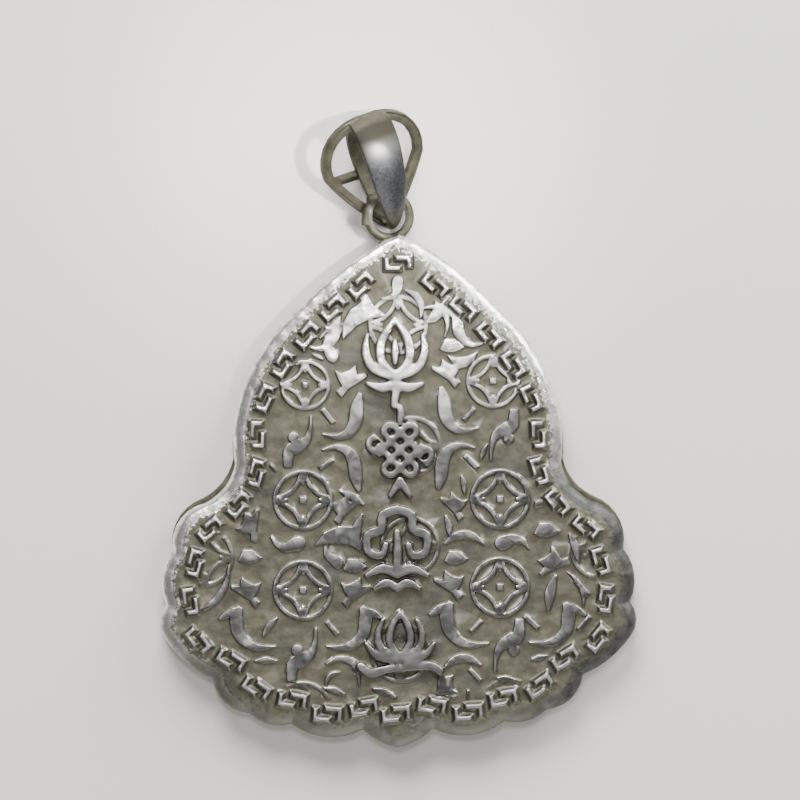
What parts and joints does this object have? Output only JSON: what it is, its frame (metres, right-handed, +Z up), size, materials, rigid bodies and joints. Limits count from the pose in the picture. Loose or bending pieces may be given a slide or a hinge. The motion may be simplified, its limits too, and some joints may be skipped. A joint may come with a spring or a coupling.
{
  "type": "stamped silver amulet pendant",
  "caption": "Hollow stamped sheet-silver amulet, pear-shaped with a scalloped foot, fret border and raised ornaments, with a soldered ring and a pierced leaf bail for a chain.",
  "frame": {"origin": "middle of the body on its plain front face, which lies on the table", "axes": "+Y towards the bail, +Z up through the decorated plate, +X to the right as the decorated plate is looked at"},
  "size_m": [0.0478, 0.064, 0.0079],
  "materials": {
    "shell_silver": "aged pressed silver, worn bright along the edges",
    "plate_silver": "aged stamped silver, warm in the recesses and polished on the relief",
    "bail_silver": "satin aged silver"
  },
  "bodies": {
    "root": {"front_shell": "shell_silver", "back_plate": "plate_silver", "bail": "bail_silver"}
  },
  "joints": []
}
